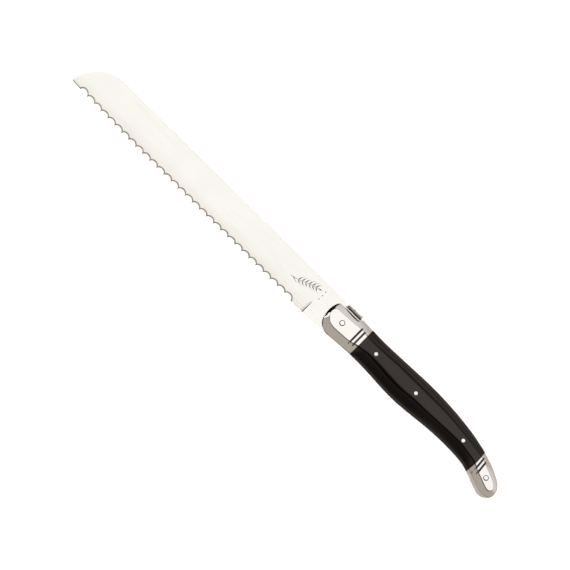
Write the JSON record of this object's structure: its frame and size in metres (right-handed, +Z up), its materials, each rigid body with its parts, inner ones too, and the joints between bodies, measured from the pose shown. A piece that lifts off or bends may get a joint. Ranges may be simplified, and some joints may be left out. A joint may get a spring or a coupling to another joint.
{
  "type": "bread knife",
  "caption": "Fixed-blade bread knife with a scalloped edge, full tang, black riveted scales and polished steel bolsters.",
  "frame": {"origin": "centre of the knife's footprint, on the plane that it lies on", "axes": "+X from the tip to the butt, +Y towards the spine, +Z up out of the left side; the knife lies on the flats of its right side"},
  "size_m": [0.33, 0.026, 0.012],
  "materials": {
    "blade_steel": "finely polished stainless steel with a faint lengthwise grain",
    "bolster_steel": "mirror-polished stainless steel with light handling wear",
    "scale_black": "black moulded resin, polished to a soft gloss",
    "pin_steel": "steel pin ends ground flush and polished"
  },
  "bodies": {
    "root": {"blade": "blade_steel", "left_front_bolster": "bolster_steel", "right_front_bolster": "bolster_steel", "left_rear_bolster": "bolster_steel", "right_rear_bolster": "bolster_steel", "left_scale": "scale_black", "right_scale": "scale_black", "spine_plate": "bolster_steel", "front_bolster_pin": "pin_steel", "rear_bolster_pin": "pin_steel", "scale_pin_front": "pin_steel", "scale_pin_middle": "pin_steel", "scale_pin_rear": "pin_steel"}
  },
  "joints": []
}
